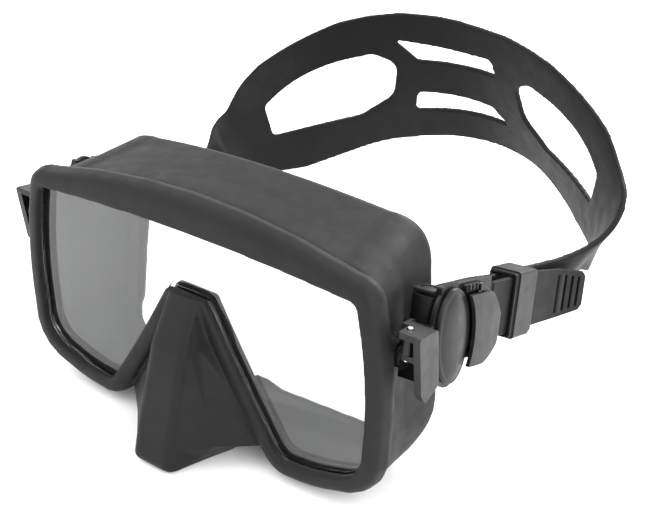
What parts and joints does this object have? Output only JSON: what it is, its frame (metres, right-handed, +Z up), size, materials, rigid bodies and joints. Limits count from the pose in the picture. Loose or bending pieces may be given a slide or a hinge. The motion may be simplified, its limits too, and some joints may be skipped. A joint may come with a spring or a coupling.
{
  "type": "diving mask",
  "caption": "Frameless single-lens diving mask with a silicone skirt, nose pocket, split head strap and pivoting ratchet buckles.",
  "frame": {"origin": "on the lens's front face, midway between its top edge and its nose notch, on the centre line", "axes": "+X to the viewer's right when facing the lens, +Y back towards the face, +Z up"},
  "size_m": [0.1933, 0.2541, 0.1121],
  "materials": {
    "skirt_silicone": "matte silicone",
    "strap_silicone": "matte silicone",
    "glass": "clear toughened glass",
    "ring_plastic": "moulded, hidden",
    "buckle_plastic": "satin moulded",
    "steel": "stainless pin"
  },
  "bodies": {
    "mask": {"skirt": "skirt_silicone", "lens": "glass", "lens_ring": "ring_plastic"},
    "hinge_right": {"bracket_right": "buckle_plastic", "hinge_pin_right": "steel"},
    "buckle_right": {"buckle_frame_right": "buckle_plastic", "buckle_cap_right": "buckle_plastic", "strap_roller_right": "steel", "lever_pin_right": "steel", "strap_loop_right": "strap_silicone"},
    "lever_right": {"release_lever_right": "buckle_plastic"},
    "keeper_right": {"keeper_right": "buckle_plastic"},
    "hinge_left": {"bracket_left": "buckle_plastic", "hinge_pin_left": "steel"},
    "buckle_left": {"buckle_frame_left": "buckle_plastic", "buckle_cap_left": "buckle_plastic", "strap_roller_left": "steel", "lever_pin_left": "steel", "strap_loop_left": "strap_silicone"},
    "lever_left": {"release_lever_left": "buckle_plastic"},
    "keeper_left": {"keeper_left": "buckle_plastic"},
    "headband": {"strap": "strap_silicone", "strap_tail_right": "strap_silicone", "strap_tail_left": "strap_silicone"}
  },
  "joints": [
    {"name": "pitch_right", "type": "hinge", "parent": "mask", "child": "hinge_right", "pos_m": [0.0788, 0.00995, -0.00996], "axis": [1, 0, 0], "range_deg": [-6, 16]},
    {"name": "swing_right", "type": "hinge", "parent": "hinge_right", "child": "buckle_right", "pos_m": [0.084, 0.0055, -0.0093], "axis": [0, 0.1478, 0.989], "range_deg": [-2.5, 2.5]},
    {"name": "lever_right", "type": "hinge", "parent": "buckle_right", "child": "lever_right", "pos_m": [0.08825, 0.04267, -0.01056], "axis": [0.0872, -0.2578, -0.9623], "range_deg": [0, 12], "stiffness_Nm_per_rad": 0.05},
    {"name": "keeper_right", "type": "slide", "parent": "headband", "child": "keeper_right", "axis": [0.073, 0.965, -0.252], "range_m": [0, 0.0055]},
    {"name": "pitch_left", "type": "hinge", "parent": "mask", "child": "hinge_left", "pos_m": [-0.0788, 0.00995, -0.00996], "axis": [1, 0, 0], "range_deg": [-6, 16]},
    {"name": "swing_left", "type": "hinge", "parent": "hinge_left", "child": "buckle_left", "pos_m": [-0.084, 0.0055, -0.0093], "axis": [0, 0.1478, 0.989], "range_deg": [-2.5, 2.5]},
    {"name": "lever_left", "type": "hinge", "parent": "buckle_left", "child": "lever_left", "pos_m": [-0.08825, 0.04267, -0.01056], "axis": [0.0872, 0.2578, 0.9623], "range_deg": [0, 12], "stiffness_Nm_per_rad": 0.05},
    {"name": "keeper_left", "type": "slide", "parent": "headband", "child": "keeper_left", "axis": [-0.073, 0.965, -0.252], "range_m": [0, 0.0055]},
    {"name": "strap_flex", "type": "hinge", "parent": "buckle_right", "child": "headband", "pos_m": [0.08131, 0.05721, -0.01446], "axis": [0, 0.1478, 0.989], "range_deg": [-2.5, 2.5]}
  ],
  "couplings": [
    {"joint": "pitch_left", "follows": "pitch_right", "ratio": 1},
    {"joint": "swing_left", "follows": "swing_right", "ratio": 1},
    {"joint": "strap_flex", "follows": "swing_right", "ratio": -1}
  ]
}
